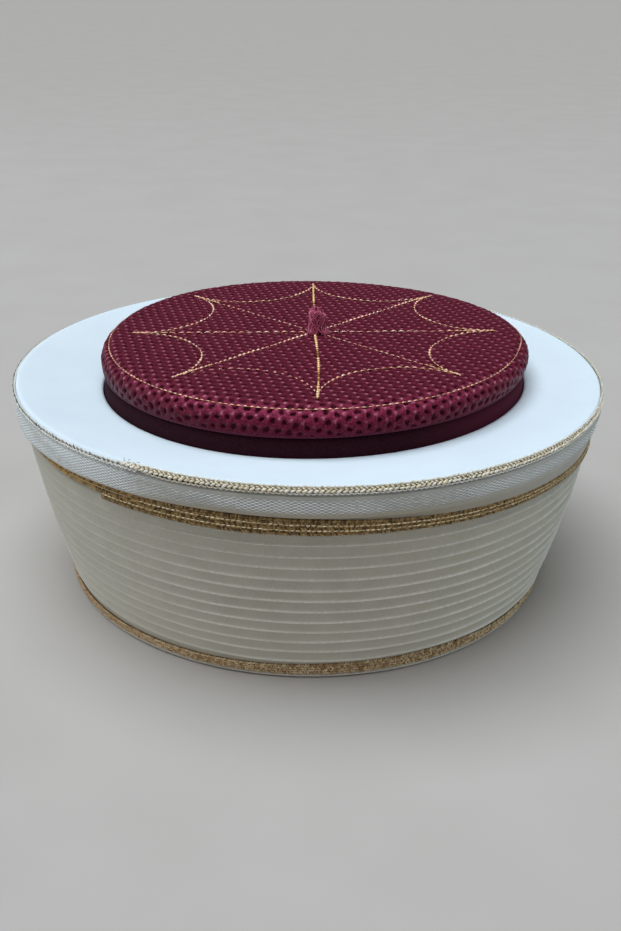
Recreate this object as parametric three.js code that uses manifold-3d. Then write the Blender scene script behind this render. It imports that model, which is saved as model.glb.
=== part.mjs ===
// A ready-made turban: a low burgundy fez with a mesh crown inside a stiff white pleated wrap.
// Millimetres, +Z up. The front faces -Y and the hem stands on z = 0.

import * as THREE from 'three';
import { mergeVertices } from 'three/addons/utils/BufferGeometryUtils.js';
import Module from 'manifold-3d';

const wasm = await Module();
wasm.setup();

// Driving dimensions
const SIDES = 48; // facets round every turned piece
const GAP = 0.3; // clearance between neighbouring pieces

const MOUTH_RADIUS = 91.7; // inside of the fez at the head opening
const FEZ_THICKNESS = 2.2;
const FEZ_TOP_RADIUS = 84.9; // outside of the fez where the crown is sewn on

const CROWN_TOP = 98.7;
const CROWN_THICKNESS = 2.4;
const SKIRT_DEPTH = 10.8; // from the crown's top down to its sewn edge

const RIM_RADIUS = 117; // edge of the white disc
const RIM_TOP = 85;
const RING_SEAT = 80.6; // height at which the disc meets the fez
const RING_THICKNESS = 2;
const COLLAR_BACK = 114.4; // face of the wrap behind the rim band and its braids

const BAND_FACE = 117.9; // outside of the rim band
const BAND_LOWER_EDGE = 73.6;
const BAND_FOOT = 67.9; // the band runs on behind the lower braid
const BAND_FOOT_FACE = 116.3;
const TOP_BRAID_HEIGHT = 3.4;
const TOP_BRAID_FACE = 118.1;
const LOWER_BRAID_FACE = 117.5;
const BOTTOM_BRAID_FACE = 101.4;

const HEM_HEIGHT = 1.8;
const WALL_FOOT = 6.4; // lower end of the pleats
const WALL_FOOT_RADIUS = 99.6;
const WALL_HEAD = 62; // upper end of the pleats
const WALL_HEAD_RADIUS = 113.2;
const WALL_BULGE = 1; // the wall swells this much half way up
const TUCKS = 12;
const FIRST_LIP = 7.7; // height of the lowest tuck's edge
const LAST_LIP = 61.3;

const TUFT_HEIGHT = 10.4;
const TUFT_RADIUS = 4.6;
const TUFT_LOCKS = 7;
const LOCK_RADIUS = 1.35;

// The fez stands a little askew in the wrap: at the disc it lies to the right and rises to the right.
const FEZ_SHIFT = 1.85;
const FEZ_RISE = 0.028; // height gained per millimetre to the right

// The collar leans in on the right, by this much at its foot and not at all under the top braid.
const COLLAR_LEAN = 2.4;

// One tuck from its lip up: share of the pitch, and how far the cloth stands out from the wall.
const TUCK_ROWS = [
  { share: -0.06, stand: 0 }, // turned in under the lip
  { share: 0.04, stand: 0.75 }, // edge of the lip
  { share: 0.45, stand: 0.08 }, // the cloth lies flat again
];

// Outside of the crown from its sewn edge to the middle: radius, and depth under the top.
const CROWN_ROWS = [
  { radius: 85.3, depth: SKIRT_DEPTH }, // sewn edge
  { radius: 86.2, depth: 7.6 },
  { radius: 86.4, depth: 4.8 }, // fullest part of the skirt
  { radius: 85.7, depth: 2.3 },
  { radius: 84.2, depth: 0.8 }, // shoulder
  { radius: 82.4, depth: 0.5 }, // stitched circle
  { radius: 79, depth: 0 },
  { radius: 0, depth: 0 },
];

// One lock of the tuft from its root to its tip: height share, distance from the axis and turn in radians.
const LOCK_ROWS = [
  { rise: 0.06, out: 0.5, turn: 0 },
  { rise: 0.37, out: 0.68, turn: 0.12 },
  { rise: 0.69, out: 0.62, turn: 0.24 },
  { rise: 1, out: 0.5, turn: 0.36 },
];

const COLOURS = {
  burgundy: 0x5a1e32,
  maroon: 0x1e0f14,
  thread: 0x8a3a5a,
  white: 0xeef2f6,
  cream: 0xd9d6cc,
  gold: 0xb49a5c,
  brown: 0x8a6a38,
};

const lerp = THREE.MathUtils.lerp;
const UP = new THREE.Vector3(0, 0, 1);
const fezTop = CROWN_TOP - SKIRT_DEPTH - GAP;
const bandTop = RIM_TOP - TOP_BRAID_HEIGHT;
const collarFoot = BAND_FOOT - GAP;

// A row of a profile. The lean column says how much of the fez's askew stand the row takes, 0 to 1.
function row(radius, height, lean = 0) {
  return { radius, height, lean };
}

// How far the collar leans in at a height, as a share: all at its foot, none at the top braid or last lip.
function collarShare(height) {
  const end = height > collarFoot ? bandTop : LAST_LIP;
  return Math.max(0, (end - height) / (end - collarFoot));
}

// Turns a profile about Z, then lets each row follow the fez by its share and the collar lean in.
function turned(rows) {
  const points = rows.map(({ radius, height }) => new THREE.Vector2(radius, height));
  const geometry = new THREE.LatheGeometry(points, SIDES);
  geometry.rotateX(Math.PI / 2);
  const position = geometry.attributes.position;
  for (let index = 0; index < position.count; index++) {
    const x = position.getX(index);
    const z = position.getZ(index);
    const { radius, lean } = rows[index % rows.length];
    const share = (lean * z) / RING_SEAT;
    const rightness = radius > WALL_FOOT_RADIUS ? Math.max(0, x / radius) ** 2 : 0;
    const shrink = 1 - (COLLAR_LEAN * collarShare(z) * rightness) / Math.max(radius, 1);
    position.setX(index, x * shrink + FEZ_SHIFT * share);
    position.setY(index, position.getY(index) * shrink);
    position.setZ(index, z + FEZ_RISE * x * share);
  }
  geometry.computeVertexNormals();
  return geometry;
}

// A ring whose profile closes on itself.
function turnedRing(rows) {
  return turned([...rows, rows[0]]);
}

function fezRadius(height) {
  return lerp(MOUTH_RADIUS + FEZ_THICKNESS, FEZ_TOP_RADIUS, height / fezTop);
}

function wallRadius(height) {
  const share = (height - WALL_FOOT) / (WALL_HEAD - WALL_FOOT);
  return lerp(WALL_FOOT_RADIUS, WALL_HEAD_RADIUS, share) + WALL_BULGE * Math.sin(Math.PI * share);
}

function fezWall() {
  return turnedRing([
    row(MOUTH_RADIUS, 0, 1),
    row(fezRadius(0), 0, 1),
    row(FEZ_TOP_RADIUS, fezTop, 1),
    row(FEZ_TOP_RADIUS - FEZ_THICKNESS, fezTop, 1),
  ]);
}

function crownCap() {
  const sewnEdge = CROWN_TOP - SKIRT_DEPTH;
  const inside = CROWN_ROWS[0].radius - CROWN_THICKNESS;
  const ceiling = CROWN_TOP - CROWN_THICKNESS;
  const cornerCut = 3; // the inner corner under the shoulder is blunt
  const underside = [
    row(0, ceiling, 1),
    row(inside - cornerCut, ceiling, 1),
    row(inside, ceiling - cornerCut, 1),
    row(inside, sewnEdge, 1),
  ];
  const outside = CROWN_ROWS.map(({ radius, depth }) => row(radius, CROWN_TOP - depth, 1));
  return turned([...underside, ...outside]);
}

// The disc falls from the rim to the fez, and its underside runs parallel to the wrap's upper face.
function topRing() {
  const inner = fezRadius(RING_SEAT - RING_THICKNESS) + GAP;
  const underRim = RIM_TOP - RING_THICKNESS - GAP;
  const edgeRound = 0.8;
  return turnedRing([
    row(inner, RING_SEAT - RING_THICKNESS, 1),
    row(COLLAR_BACK, underRim),
    row(RIM_RADIUS - edgeRound, underRim),
    row(RIM_RADIUS, underRim + edgeRound),
    row(RIM_RADIUS, RIM_TOP - edgeRound),
    row(RIM_RADIUS - edgeRound, RIM_TOP),
    row(COLLAR_BACK, RIM_TOP - GAP),
    row(inner, RING_SEAT, 1),
  ]);
}

// A flat braid of round cords, one above the other, between two heights.
function braid(back, face, bottom, top, cords) {
  const cordHeight = (top - bottom) / cords;
  const valley = lerp(back, face, 0.5);
  const front = [];
  for (let cord = 0; cord < cords; cord++) {
    const start = bottom + cord * cordHeight;
    front.push(row(cord === 0 ? back : valley, start));
    front.push(row(face, start + cordHeight / 4));
    front.push(row(face, start + (cordHeight * 3) / 4));
  }
  return turnedRing([...front, row(back, top)]);
}

function rimBand() {
  const back = COLLAR_BACK + GAP;
  const turnIn = 0.9;
  const swell = 0.2;
  const middle = (bandTop + BAND_LOWER_EDGE) / 2;
  return turnedRing([
    row(back, BAND_FOOT),
    row(BAND_FOOT_FACE, BAND_FOOT),
    row(BAND_FOOT_FACE, BAND_LOWER_EDGE),
    row(BAND_FACE - turnIn, BAND_LOWER_EDGE),
    row(BAND_FACE, BAND_LOWER_EDGE + turnIn),
    row(BAND_FACE + swell, middle),
    row(BAND_FACE, bandTop - turnIn),
    row(BAND_FACE - turnIn, bandTop),
    row(back, bandTop),
  ]);
}

function topBraid() {
  return braid(RIM_RADIUS + GAP, TOP_BRAID_FACE, bandTop + GAP, RIM_TOP + GAP, 2);
}

function lowerBraid() {
  return braid(BAND_FOOT_FACE + GAP, LOWER_BRAID_FACE, collarFoot, BAND_LOWER_EDGE - GAP, 3);
}

function bottomBraid() {
  return braid(WALL_FOOT_RADIUS + GAP, BOTTOM_BRAID_FACE, HEM_HEIGHT + GAP, WALL_FOOT, 2);
}

// The wound wrap: pleats outside, a plain face behind the collar, and the fez's cone inside.
function pleatedWrap() {
  const bottom = HEM_HEIGHT + GAP;
  const pitch = (LAST_LIP - FIRST_LIP) / (TUCKS - 1);
  const outside = [row(WALL_FOOT_RADIUS, bottom), row(WALL_FOOT_RADIUS, WALL_FOOT)];
  for (let tuck = 0; tuck < TUCKS; tuck++) {
    for (const { share, stand } of TUCK_ROWS) {
      const height = FIRST_LIP + (tuck + share) * pitch;
      outside.push(row(wallRadius(height) + stand, height));
    }
  }
  const topAtFez = RING_SEAT - RING_THICKNESS - GAP;
  const topAtCollar = RIM_TOP - RING_THICKNESS - 2 * GAP;
  return turnedRing([
    row(fezRadius(bottom) + GAP, bottom, 1),
    ...outside,
    row(COLLAR_BACK, collarFoot),
    row(COLLAR_BACK, topAtCollar),
    row(fezRadius(topAtFez) + GAP, topAtFez, 1),
  ]);
}

function bottomHem() {
  const inner = fezRadius(0) + GAP;
  const roll = 0.7;
  return turnedRing([
    row(inner, 0),
    row(WALL_FOOT_RADIUS - roll, 0),
    row(WALL_FOOT_RADIUS + roll / 2, roll),
    row(WALL_FOOT_RADIUS, HEM_HEIGHT),
    row(inner, HEM_HEIGHT),
  ]);
}

// A closed mesh as a solid that can be joined to others.
function toSolid(geometry) {
  geometry.deleteAttribute('normal');
  geometry.deleteAttribute('uv');
  const merged = mergeVertices(geometry, 1e-3);
  const vertProperties = new Float32Array(merged.attributes.position.array);
  const triVerts = new Uint32Array(merged.index.array);
  return new wasm.Manifold(new wasm.Mesh({ numProp: 3, vertProperties, triVerts }));
}

function toGeometry(solid) {
  const mesh = solid.getMesh();
  const geometry = new THREE.BufferGeometry();
  geometry.setAttribute('position', new THREE.BufferAttribute(mesh.vertProperties, 3));
  geometry.setIndex(new THREE.BufferAttribute(mesh.triVerts, 1));
  geometry.computeVertexNormals();
  return geometry;
}

// One lock of thread: it leaves the head outwards, leans back in and ends at its own height.
function tuftLock(number) {
  const angle = (number / TUFT_LOCKS) * 2 * Math.PI;
  const shortest = 0.85; // the locks end between this share and all of the tuft's height
  const height = TUFT_HEIGHT * lerp(shortest, 1, Math.cos(2 * number) ** 2);
  const path = LOCK_ROWS.map(({ rise, out, turn }) => {
    const point = new THREE.Vector3(out * TUFT_RADIUS, 0, rise * height);
    return point.applyAxisAngle(UP, angle + turn);
  });
  const section = new THREE.Shape();
  section.absarc(0, 0, LOCK_RADIUS, 0, 2 * Math.PI);
  return new THREE.ExtrudeGeometry(section, {
    steps: 5,
    curveSegments: 6,
    bevelEnabled: false,
    extrudePath: new THREE.CatmullRomCurve3(path),
  });
}

function crownTuft() {
  const headHeight = 4;
  const headTaper = 1;
  const head = new THREE.CylinderGeometry(TUFT_RADIUS - headTaper, TUFT_RADIUS, headHeight, 12);
  head.rotateX(Math.PI / 2);
  head.translate(0, 0, headHeight / 2);
  let tuft = toSolid(head);
  for (let number = 0; number < TUFT_LOCKS; number++) {
    tuft = tuft.add(toSolid(tuftLock(number)));
  }
  return toGeometry(tuft);
}

function cloth(colour, roughness = 0.9, metalness = 0) {
  return new THREE.MeshStandardMaterial({ color: colour, roughness, metalness });
}

const turban = new THREE.Group();

function piece(name, geometry, material) {
  const mesh = new THREE.Mesh(geometry, material);
  mesh.name = name;
  turban.add(mesh);
  return mesh;
}

piece('fez_wall', fezWall(), cloth(COLOURS.maroon));
piece('crown_cap', crownCap(), cloth(COLOURS.burgundy, 0.7));
piece('top_ring', topRing(), cloth(COLOURS.white));
piece('top_braid', topBraid(), cloth(COLOURS.gold, 0.45, 0.5));
piece('rim_band', rimBand(), cloth(COLOURS.white, 0.6));
piece('lower_braid', lowerBraid(), cloth(COLOURS.brown, 0.5, 0.4));
piece('pleated_wrap', pleatedWrap(), cloth(COLOURS.cream));
piece('bottom_braid', bottomBraid(), cloth(COLOURS.brown, 0.5, 0.4));
piece('bottom_hem', bottomHem(), cloth(COLOURS.cream));
const tuft = piece('crown_tuft', crownTuft(), cloth(COLOURS.thread, 0.6));
tuft.position.set((FEZ_SHIFT * CROWN_TOP) / RING_SEAT, 0, CROWN_TOP + GAP);

export default turban;
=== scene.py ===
import math

import bpy
import numpy as np
from mathutils import Matrix, Vector


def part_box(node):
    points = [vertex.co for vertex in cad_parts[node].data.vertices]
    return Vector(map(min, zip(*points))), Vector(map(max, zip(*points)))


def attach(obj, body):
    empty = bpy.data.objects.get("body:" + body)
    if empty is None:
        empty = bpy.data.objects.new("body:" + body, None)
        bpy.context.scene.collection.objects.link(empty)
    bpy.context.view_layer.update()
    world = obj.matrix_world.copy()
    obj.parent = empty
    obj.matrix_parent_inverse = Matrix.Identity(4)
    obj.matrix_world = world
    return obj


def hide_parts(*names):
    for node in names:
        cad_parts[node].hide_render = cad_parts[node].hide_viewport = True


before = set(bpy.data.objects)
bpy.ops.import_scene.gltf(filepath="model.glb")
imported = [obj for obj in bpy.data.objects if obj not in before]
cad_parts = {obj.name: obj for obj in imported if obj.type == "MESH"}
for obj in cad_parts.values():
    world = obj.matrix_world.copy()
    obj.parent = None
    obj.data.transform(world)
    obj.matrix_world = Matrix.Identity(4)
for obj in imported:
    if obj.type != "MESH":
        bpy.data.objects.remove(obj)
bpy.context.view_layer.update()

# A ready-made turban: a low burgundy fez with a mesh crown and gold stitching, inside a stiff white pleated
# wrap that is trimmed with braids. Lengths are millimetres and angles are degrees, unless a comment says
# radians. An azimuth of 0 is the front, which faces -Y, and 90 is the right, +X.

MM = 0.001
TURN = 2 * math.pi
BODY = "root"


def level(node, end):
    """Height of a node's bottom, 0, or top, 1."""
    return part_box(node)[end].z / MM


def reach(node):
    """Radius of a turned node, measured from front to back."""
    low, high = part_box(node)
    return (high.y - low.y) / 2 / MM


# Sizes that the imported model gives
RIM_TOP = level("top_ring", 1)
BAND_TOP = level("rim_band", 1)
BAND_FOOT = level("rim_band", 0)
BAND_FACE = reach("rim_band")
TOP_BRAID_FACE = reach("top_braid")
LOWER_BRAID_TOP = level("lower_braid", 1)
COLLAR_FOOT = level("lower_braid", 0)
LOWER_BRAID_FACE = reach("lower_braid")
BOTTOM_BRAID_TOP = level("bottom_braid", 1)
BOTTOM_BRAID_FOOT = level("bottom_braid", 0)
BOTTOM_BRAID_FACE = reach("bottom_braid")
HEM_TOP = level("bottom_hem", 1)
RIM_RADIUS = reach("top_ring")
MOUTH_RADIUS = reach("fez_wall")
TUFT_HEIGHT = level("crown_tuft", 1) - level("crown_tuft", 0)

# Driving dimensions of the shapes between them
GAP = 0.3
FEZ_THICKNESS = 2.2
FEZ_TOP = 87.6
FEZ_TOP_RADIUS = 84.9
CROWN_TOP = 98.7
CROWN_THICKNESS = 2.4
RING_SEAT = 80.6
RING_THICKNESS = 2
COLLAR_BACK = 114.4
WALL_FOOT_RADIUS = 99.6
PLEAT_FOOT_RADIUS = 100.9
WALL_HEAD = 62
WALL_HEAD_RADIUS = 113.2
WALL_BULGE = 1
TUCKS = 12
FIRST_LIP = 7.7
LAST_LIP = 61.3
LIP_STAND = 0.8
LEFT_SPREAD = 0.9
RIGHT_SPREAD = 0.35
# painted light over the left of the pleated wall
LEFT_PAINTED_LIGHT = 0.16

# The fez stands askew in the wrap. The collar leans in at the foot of its sides, mostly on the right, and
# out at the rim.
FEZ_SHIFT = 1.85
FEZ_RISE = 0.028
CROWN_RISE = 0.016
RIGHT_LEAN = 2.0
LEFT_LEAN = 0.3
RIGHT_FLARE = 0.7
LEFT_FLARE = 1.0

# The crown's mesh cloth
MESH_PITCH = 4.2
MESH_TURN = -15
CELL_SIDES = 12
CELL_RINGS = [  # from the strands into the hole: radius, depth, and how hollow it is, which sets its painted shade
    {"radius": 1.5, "depth": 0.06, "hollow": 0.0},
    {"radius": 1.15, "depth": 0.38, "hollow": 0.3},
    {"radius": 0.92, "depth": 0.95, "hollow": 1.0},
]
KNOT_RISE = 0.16
EDGE_BULGE = 1.4
EDGE_SINK = 0.9
CROWN_ROWS = [  # outside of the crown from the middle to its sewn edge: radius, and depth under the top
    (0, 0),
    (77, 0),
    (80.2, 0.4),
    (82.4, 1.0),
    (84.3, 2.0),
    (85.7, 3.6),
    (86.5, 5.6),
    (86.3, 7.9),
    (85.3, 10.8),
]
CROWN_EDGE = CROWN_ROWS[-1][0]
CROWN_FOOT = CROWN_TOP - CROWN_ROWS[-1][1]

# The gold star on the crown
STAR_CENTRE = (-0.1, -0.4)
STAR_TURN = 0.7
STAR_TIP = 74.5
STITCHED_CIRCLE = 82.9
CIRCLE_CENTRE = (-0.5, 0.5)
CIRCLE_SLIP = 4.0
SEAM_DEPTH = 0.3
SEAM_WIDTH = 1.4
CIRCLE_DEPTH = 0.45
CIRCLE_WIDTH = 1.2
SPOKES = [  # from the front round to the right: tip, length and gap of stitches, thread radius and bow
    {"tip": 75.2, "stitch": 1.9, "gap": 0.45, "thread": 0.5, "bow": 0.9},
    {"tip": 75.0, "stitch": 1.9, "gap": 0.9, "thread": 0.26, "bow": 0},
    {"tip": 74.0, "stitch": 2.5, "gap": 0.8, "thread": 0.46, "bow": 0},
    {"tip": 77.5, "stitch": 1.8, "gap": 0.6, "thread": 0.5, "bow": 0},
    {"tip": 75.0, "stitch": 1.8, "gap": 0.4, "thread": 0.5, "bow": 0},
    {"tip": 77.5, "stitch": 1.6, "gap": 1.6, "thread": 0.32, "bow": 0},
    {"tip": 75.5, "stitch": 2.5, "gap": 1.0, "thread": 0.45, "bow": 0},
    {"tip": 72.5, "stitch": 1.8, "gap": 0.6, "thread": 0.5, "bow": 0},
]
GOLDEN_SPOKES = (0, 4)
CLOSE_GAP = 0.48  # under stitches that lie closer than this the seam's dark thread shows
FAINT_SCALLOP = 7

# The braids' joints lie at the left of the front.
TOP_BRAID_START = -27.5
TOP_BRAID_DOUBLE = 236  # degrees over which the top braid has all its rows
BEAD_PITCH = 1.85
LOWER_BRAID_START = -37
LOWER_BRAID_END = 204
UPPER_ROW_START = -28.5
LOWER_ROW_STARTS = (UPPER_ROW_START, -38.5, LOWER_BRAID_START)  # of its rows, from the top down
CREAM_ROW_STARTS = (UPPER_ROW_START, LOWER_BRAID_START)  # of the cream stitches between its rows
TAIL_START = -156
TAIL_END = -36
LOWER_BRAID_TOPS = [  # the lower braid's upper edge: azimuth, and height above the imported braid's top
    (-180, 0.0),
    (-36, 0.55),
    (-29, 0.6),
    (-20, 0.45),
    (0, -0.3),
    (20, -1.7),
    (40, -3.0),
    (60, -4.2),
    (90, -4.2),
    (130, 0.0),
    (180, 0.0),
]
LOWER_BRAID_FEET = [  # its lower edge: azimuth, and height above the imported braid's foot
    (-180, 0.0),
    (-36, 0.4),
    (-25, 0.0),
    (-15, -0.4),
    (18, -0.4),
    (30, -1.0),
    (50, -1.3),
    (90, -1.6),
    (120, 0.0),
    (180, 0.0),
]
TAIL_FEET = [  # lower edge of its tail on the left: azimuth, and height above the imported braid's top
    (-180, -3.0),
    (-120, -1.9),
    (-80, -1.9),
    (-61, -1.3),
    (-55, -2.2),
    (-50, -3.2),
    (-45, -3.7),
    (-36, -3.4),
    (-28, -3.0),
]
BAND_EDGES = [  # the rim band's lower edge: azimuth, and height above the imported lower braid's top
    (-180, 0.3),
    (-120, -1.0),
    (-80, -1.3),
    (-60, -0.55),
    (-50, 0.1),
    (-36, 0.55),
    (-12, 0.75),
    (0, 0.4),
    (180, 0.3),
]
BOTTOM_BRAID_TOPS = [  # the bottom braid's upper edge: azimuth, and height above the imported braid's top
    (-180, -0.2),
    (-130, -1.9),
    (-60, -2.5),
    (-20, -1.6),
    (6, -0.2),
    (25, -0.2),
    (45, -1.4),
    (70, -2.4),
    (100, -2.4),
    (150, -0.2),
    (180, -0.2),
]
TUCK_ROWS = [  # one tuck from under its lip up: share of the pitch, stand above the wall, and painted highlight
    (-0.075, 0.0, 0.0),
    (-0.055, 0.35, 0.3),
    (-0.025, 0.8, 0.7),
    (0.015, 1.0, 0.9),
    (0.055, 0.96, 0.9),
    (0.1, 0.72, 0.75),
    (0.15, 0.45, 0.4),
    (0.22, 0.27, 0.1),
    (0.4, 0.14, 0.0),
    (0.68, 0.05, 0.0),
    (0.88, 0.0, 0.0),
]
METAL_THREADS = {  # dark and light colour, share of metal, roughness, sheen and gloss
    "gold_thread": ((0.85, 0.41, 0.1), (1.0, 0.7, 0.42), 0.4, 0.34, 0.3, 1.0),
    "rose_gold_thread": ((0.95, 0.36, 0.24), (1.0, 0.66, 0.54), 0.4, 0.34, 0.45, 1.0),
    "dark_gold_thread": ((0.2, 0.075, 0.012), (0.42, 0.19, 0.045), 0.2, 0.5, 0.0, 0.5),
    "champagne_thread": ((0.8, 0.74, 0.6), (1.0, 0.99, 0.94), 0.0, 0.3, 0.1, 1.0),
    "bright_gold_thread": ((0.92, 0.8, 0.56), (1.0, 0.99, 0.92), 0.0, 0.3, 0.2, 1.0),
    "dark_thread": ((0.08, 0.08, 0.075), (0.3, 0.3, 0.28), 0.2, 0.5, 0.0, 0.5),
    "brown_gold_thread": ((0.07, 0.036, 0.012), (0.62, 0.42, 0.19), 0.3, 0.45, 0.0, 0.5),
    "old_gold_thread": ((0.27, 0.15, 0.045), (0.75, 0.5, 0.2), 0.3, 0.45, 0.0, 0.5),
    "pale_gold_thread": ((0.4, 0.18, 0.065), (1.0, 0.87, 0.55), 0.0, 0.4, 0.2, 0.8),
    "cream_stitch": ((0.55, 0.4, 0.2), (1.0, 0.84, 0.58), 0.1, 0.5, 0.0, 0.5),
}
COTTON_THREADS = {  # dark and light colour
    "white_loop": ((0.7, 0.68, 0.62), (0.88, 0.87, 0.83)),
    "grey_edge": ((0.36, 0.33, 0.27), (0.5, 0.47, 0.4)),
    "braid_tape": ((0.05, 0.032, 0.016), (0.12, 0.08, 0.04)),
    "rust_tape": ((0.075, 0.032, 0.012), (0.15, 0.07, 0.03)),
    "tan_tape": ((0.33, 0.27, 0.17), (0.56, 0.48, 0.32)),
}


# Shapes


def unit(vectors):
    return vectors / np.linalg.norm(vectors, axis=-1, keepdims=True)


def smooth_step(value, low, high):
    share = np.clip((value - low) / (high - low), 0, 1)
    return share * share * (3 - 2 * share)


def ripple(azimuth, seed, size, slowest=3, waves=5):
    """A gentle unevenness round the turban, for azimuths in radians."""
    random = np.random.default_rng(seed)
    total = np.zeros_like(azimuth)
    for wave in range(waves):
        turns = slowest + 4 * wave + random.integers(0, 4)
        total += np.cos(turns * azimuth + random.uniform(0, TURN)) / (1 + wave)
    return size * total / 2


def in_degrees(azimuth):
    """Azimuths in radians as degrees from -180 to 180."""
    return np.mod(np.degrees(azimuth) + 180, 360) - 180


def along_edge(edge, azimuth):
    """Height of an edge that is given by pairs of azimuth and height, for azimuths in radians."""
    places, heights = zip(*edge)
    return np.interp(in_degrees(azimuth), places, heights)


def towards(azimuth):
    """Direction of azimuths in radians, as x and y."""
    return np.stack([np.sin(azimuth), -np.cos(azimuth)], -1)


def all_round(columns):
    """Azimuths in radians at even steps all the way round."""
    return np.arange(columns) / columns * TURN


def both_ways(columns):
    """Azimuths in radians all the way round, from 0 to pi and then on from -pi to 0."""
    azimuth = all_round(columns)
    return np.where(azimuth > math.pi, azimuth - TURN, azimuth)


def length_along(line):
    """Length from the first point of a line to each of its points."""
    return np.concatenate([[0], np.cumsum(np.linalg.norm(np.diff(line, axis=0), axis=1))])


def rounded(rows, blur, step=0.2):
    """A profile of straight lines with its corners rounded, at even steps."""
    rows = np.array(rows, float)
    lengths = length_along(rows)
    at = np.linspace(0, lengths[-1], int(lengths[-1] / step) + 1)
    line = np.stack([np.interp(at, lengths, column) for column in rows.T], 1)
    half = int(blur / step / 2)
    head = 2 * line[0] - line[half:0:-1]
    tail = 2 * line[-1] - line[-2 : -half - 2 : -1]
    padded = np.concatenate([head, line, tail])
    window = np.ones(2 * half + 1) / (2 * half + 1)
    return np.stack([np.convolve(column, window, "valid") for column in padded.T], 1)


def lean_with_fez(points, lean=1.0, rise=FEZ_RISE):
    """Points of the upright turban moved to the askew stand of the fez, by a share for each."""
    share = lean * points[..., 2] / RING_SEAT
    moved = points.copy()
    moved[..., 0] += FEZ_SHIFT * share
    moved[..., 2] += rise * points[..., 0] * share
    return moved


def crown_share(points):
    """How far up the crown points lie, from 0 at its sewn edge to 1 at its top."""
    return np.clip((points[..., 2] - CROWN_FOOT) / (CROWN_TOP - CROWN_FOOT), 0, 1)


def lean_with_crown(points):
    """Points of the crown moved with the fez, with less of a rise towards the flat top."""
    return lean_with_fez(points, rise=FEZ_RISE + (CROWN_RISE - FEZ_RISE) * crown_share(points))


def lean_with_collar(points):
    """Points of the collar moved at the sides: in at its foot and out at its rim."""
    height = points[..., 2]
    end = np.where(height > COLLAR_FOOT, BAND_TOP, LAST_LIP)
    share = np.maximum(0, (end - height) / (end - COLLAR_FOOT))
    above = np.clip((height - COLLAR_FOOT) / (BAND_TOP - COLLAR_FOOT), 0, 1)
    radius = np.hypot(points[..., 0], points[..., 1])
    rightness = np.maximum(0, points[..., 0] / radius) ** 2
    leftness = np.maximum(0, -points[..., 0] / radius) ** 2
    right_shift = RIGHT_FLARE * above - RIGHT_LEAN * share
    left_shift = LEFT_FLARE * above - LEFT_LEAN * share
    moved = points.copy()
    moved[..., :2] *= (1 + (right_shift * rightness + left_shift * leftness) / radius)[..., None]
    return moved


def around(azimuth, radius, height):
    """Points at azimuths in radians, with the outward direction there."""
    azimuth, radius, height = np.broadcast_arrays(azimuth, radius, height)
    outward = np.stack([np.sin(azimuth), -np.cos(azimuth), 0 * azimuth], -1)
    points = outward * radius[..., None]
    points[..., 2] = height
    return points, outward


def turned(rows, columns):
    """Points of a profile of radius and height turned about the axis, by row and column."""
    rows = np.array(rows, float)
    return around(all_round(columns)[None], rows[:, :1], rows[:, 1:])[0]


def squares(*corners):
    """Faces of four corners each, from the numbers of their points, corner by corner."""
    return np.stack([corner.ravel() for corner in corners], 1)


def belt(points, closed=True):
    """A part turned round the axis, from points by row and column, with a section that may be a loop."""
    rows, columns, _ = points.shape
    row, column = np.meshgrid(np.arange(rows if closed else rows - 1), np.arange(columns), indexing="ij")
    here = row * columns
    above = (row + 1) % rows * columns
    beside = (column + 1) % columns
    faces = squares(here + column, here + beside, above + beside, above + column)
    return points.reshape(-1, 3), [faces]


def tubes(paths, outward, width, height, sides, closed=False):
    """Threads along paths, by thread and step, flattened to a half width and a half height."""
    count, steps, _ = paths.shape
    if closed:
        along = unit(np.roll(paths, -1, 1) - np.roll(paths, 1, 1))
    else:
        along = unit(np.gradient(paths, axis=1))
    across = unit(np.cross(along, outward))
    upward = np.cross(across, along)
    angle = all_round(sides)
    width, height = (np.broadcast_to(size, (count, steps))[..., None, None] for size in (width, height))
    points = paths[:, :, None] + across[:, :, None] * width * np.cos(angle)[:, None]
    points = points + upward[:, :, None] * height * np.sin(angle)[:, None]
    numbers = np.arange(count * steps * sides).reshape(count, steps, sides)
    ahead = np.roll(numbers, -1, 1) if closed else numbers[:, 1:]
    here = numbers if closed else numbers[:, :-1]
    faces = [squares(here, ahead, np.roll(ahead, -1, 2), np.roll(here, -1, 2))]
    if not closed:
        faces += [numbers[:, 0], numbers[:, -1, ::-1]]
    return points.reshape(-1, 3), faces


def join(parts):
    """Several parts as one: points, faces by their number of corners, and the material of each face."""
    points, faces, slots = [], [], []
    first = 0
    for number, (part_points, part_faces), _ in parts:
        points.append(part_points)
        for group in part_faces:
            faces.append(group + first)
            slots.append(np.full(len(group), number))
        first += len(part_points)
    return np.concatenate(points), faces, np.concatenate(slots)


def make_mesh(name, parts):
    points, faces, slots = join(parts)
    mesh = bpy.data.meshes.new(name)
    mesh.vertices.add(len(points))
    mesh.vertices.foreach_set("co", (points * MM).astype(np.float32).ravel())
    corners = np.concatenate([group.ravel() for group in faces]).astype(np.int32)
    sizes = np.concatenate([np.full(len(group), group.shape[1]) for group in faces]).astype(np.int32)
    mesh.loops.add(len(corners))
    mesh.loops.foreach_set("vertex_index", corners)
    mesh.polygons.add(len(sizes))
    mesh.polygons.foreach_set("loop_start", (np.cumsum(sizes) - sizes).astype(np.int32))
    mesh.polygons.foreach_set("loop_total", sizes)
    mesh.polygons.foreach_set("material_index", slots.astype(np.int32))
    mesh.polygons.foreach_set("use_smooth", np.ones(len(sizes), bool))
    mesh.update(calc_edges=True)
    mesh.validate()
    return mesh


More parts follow.
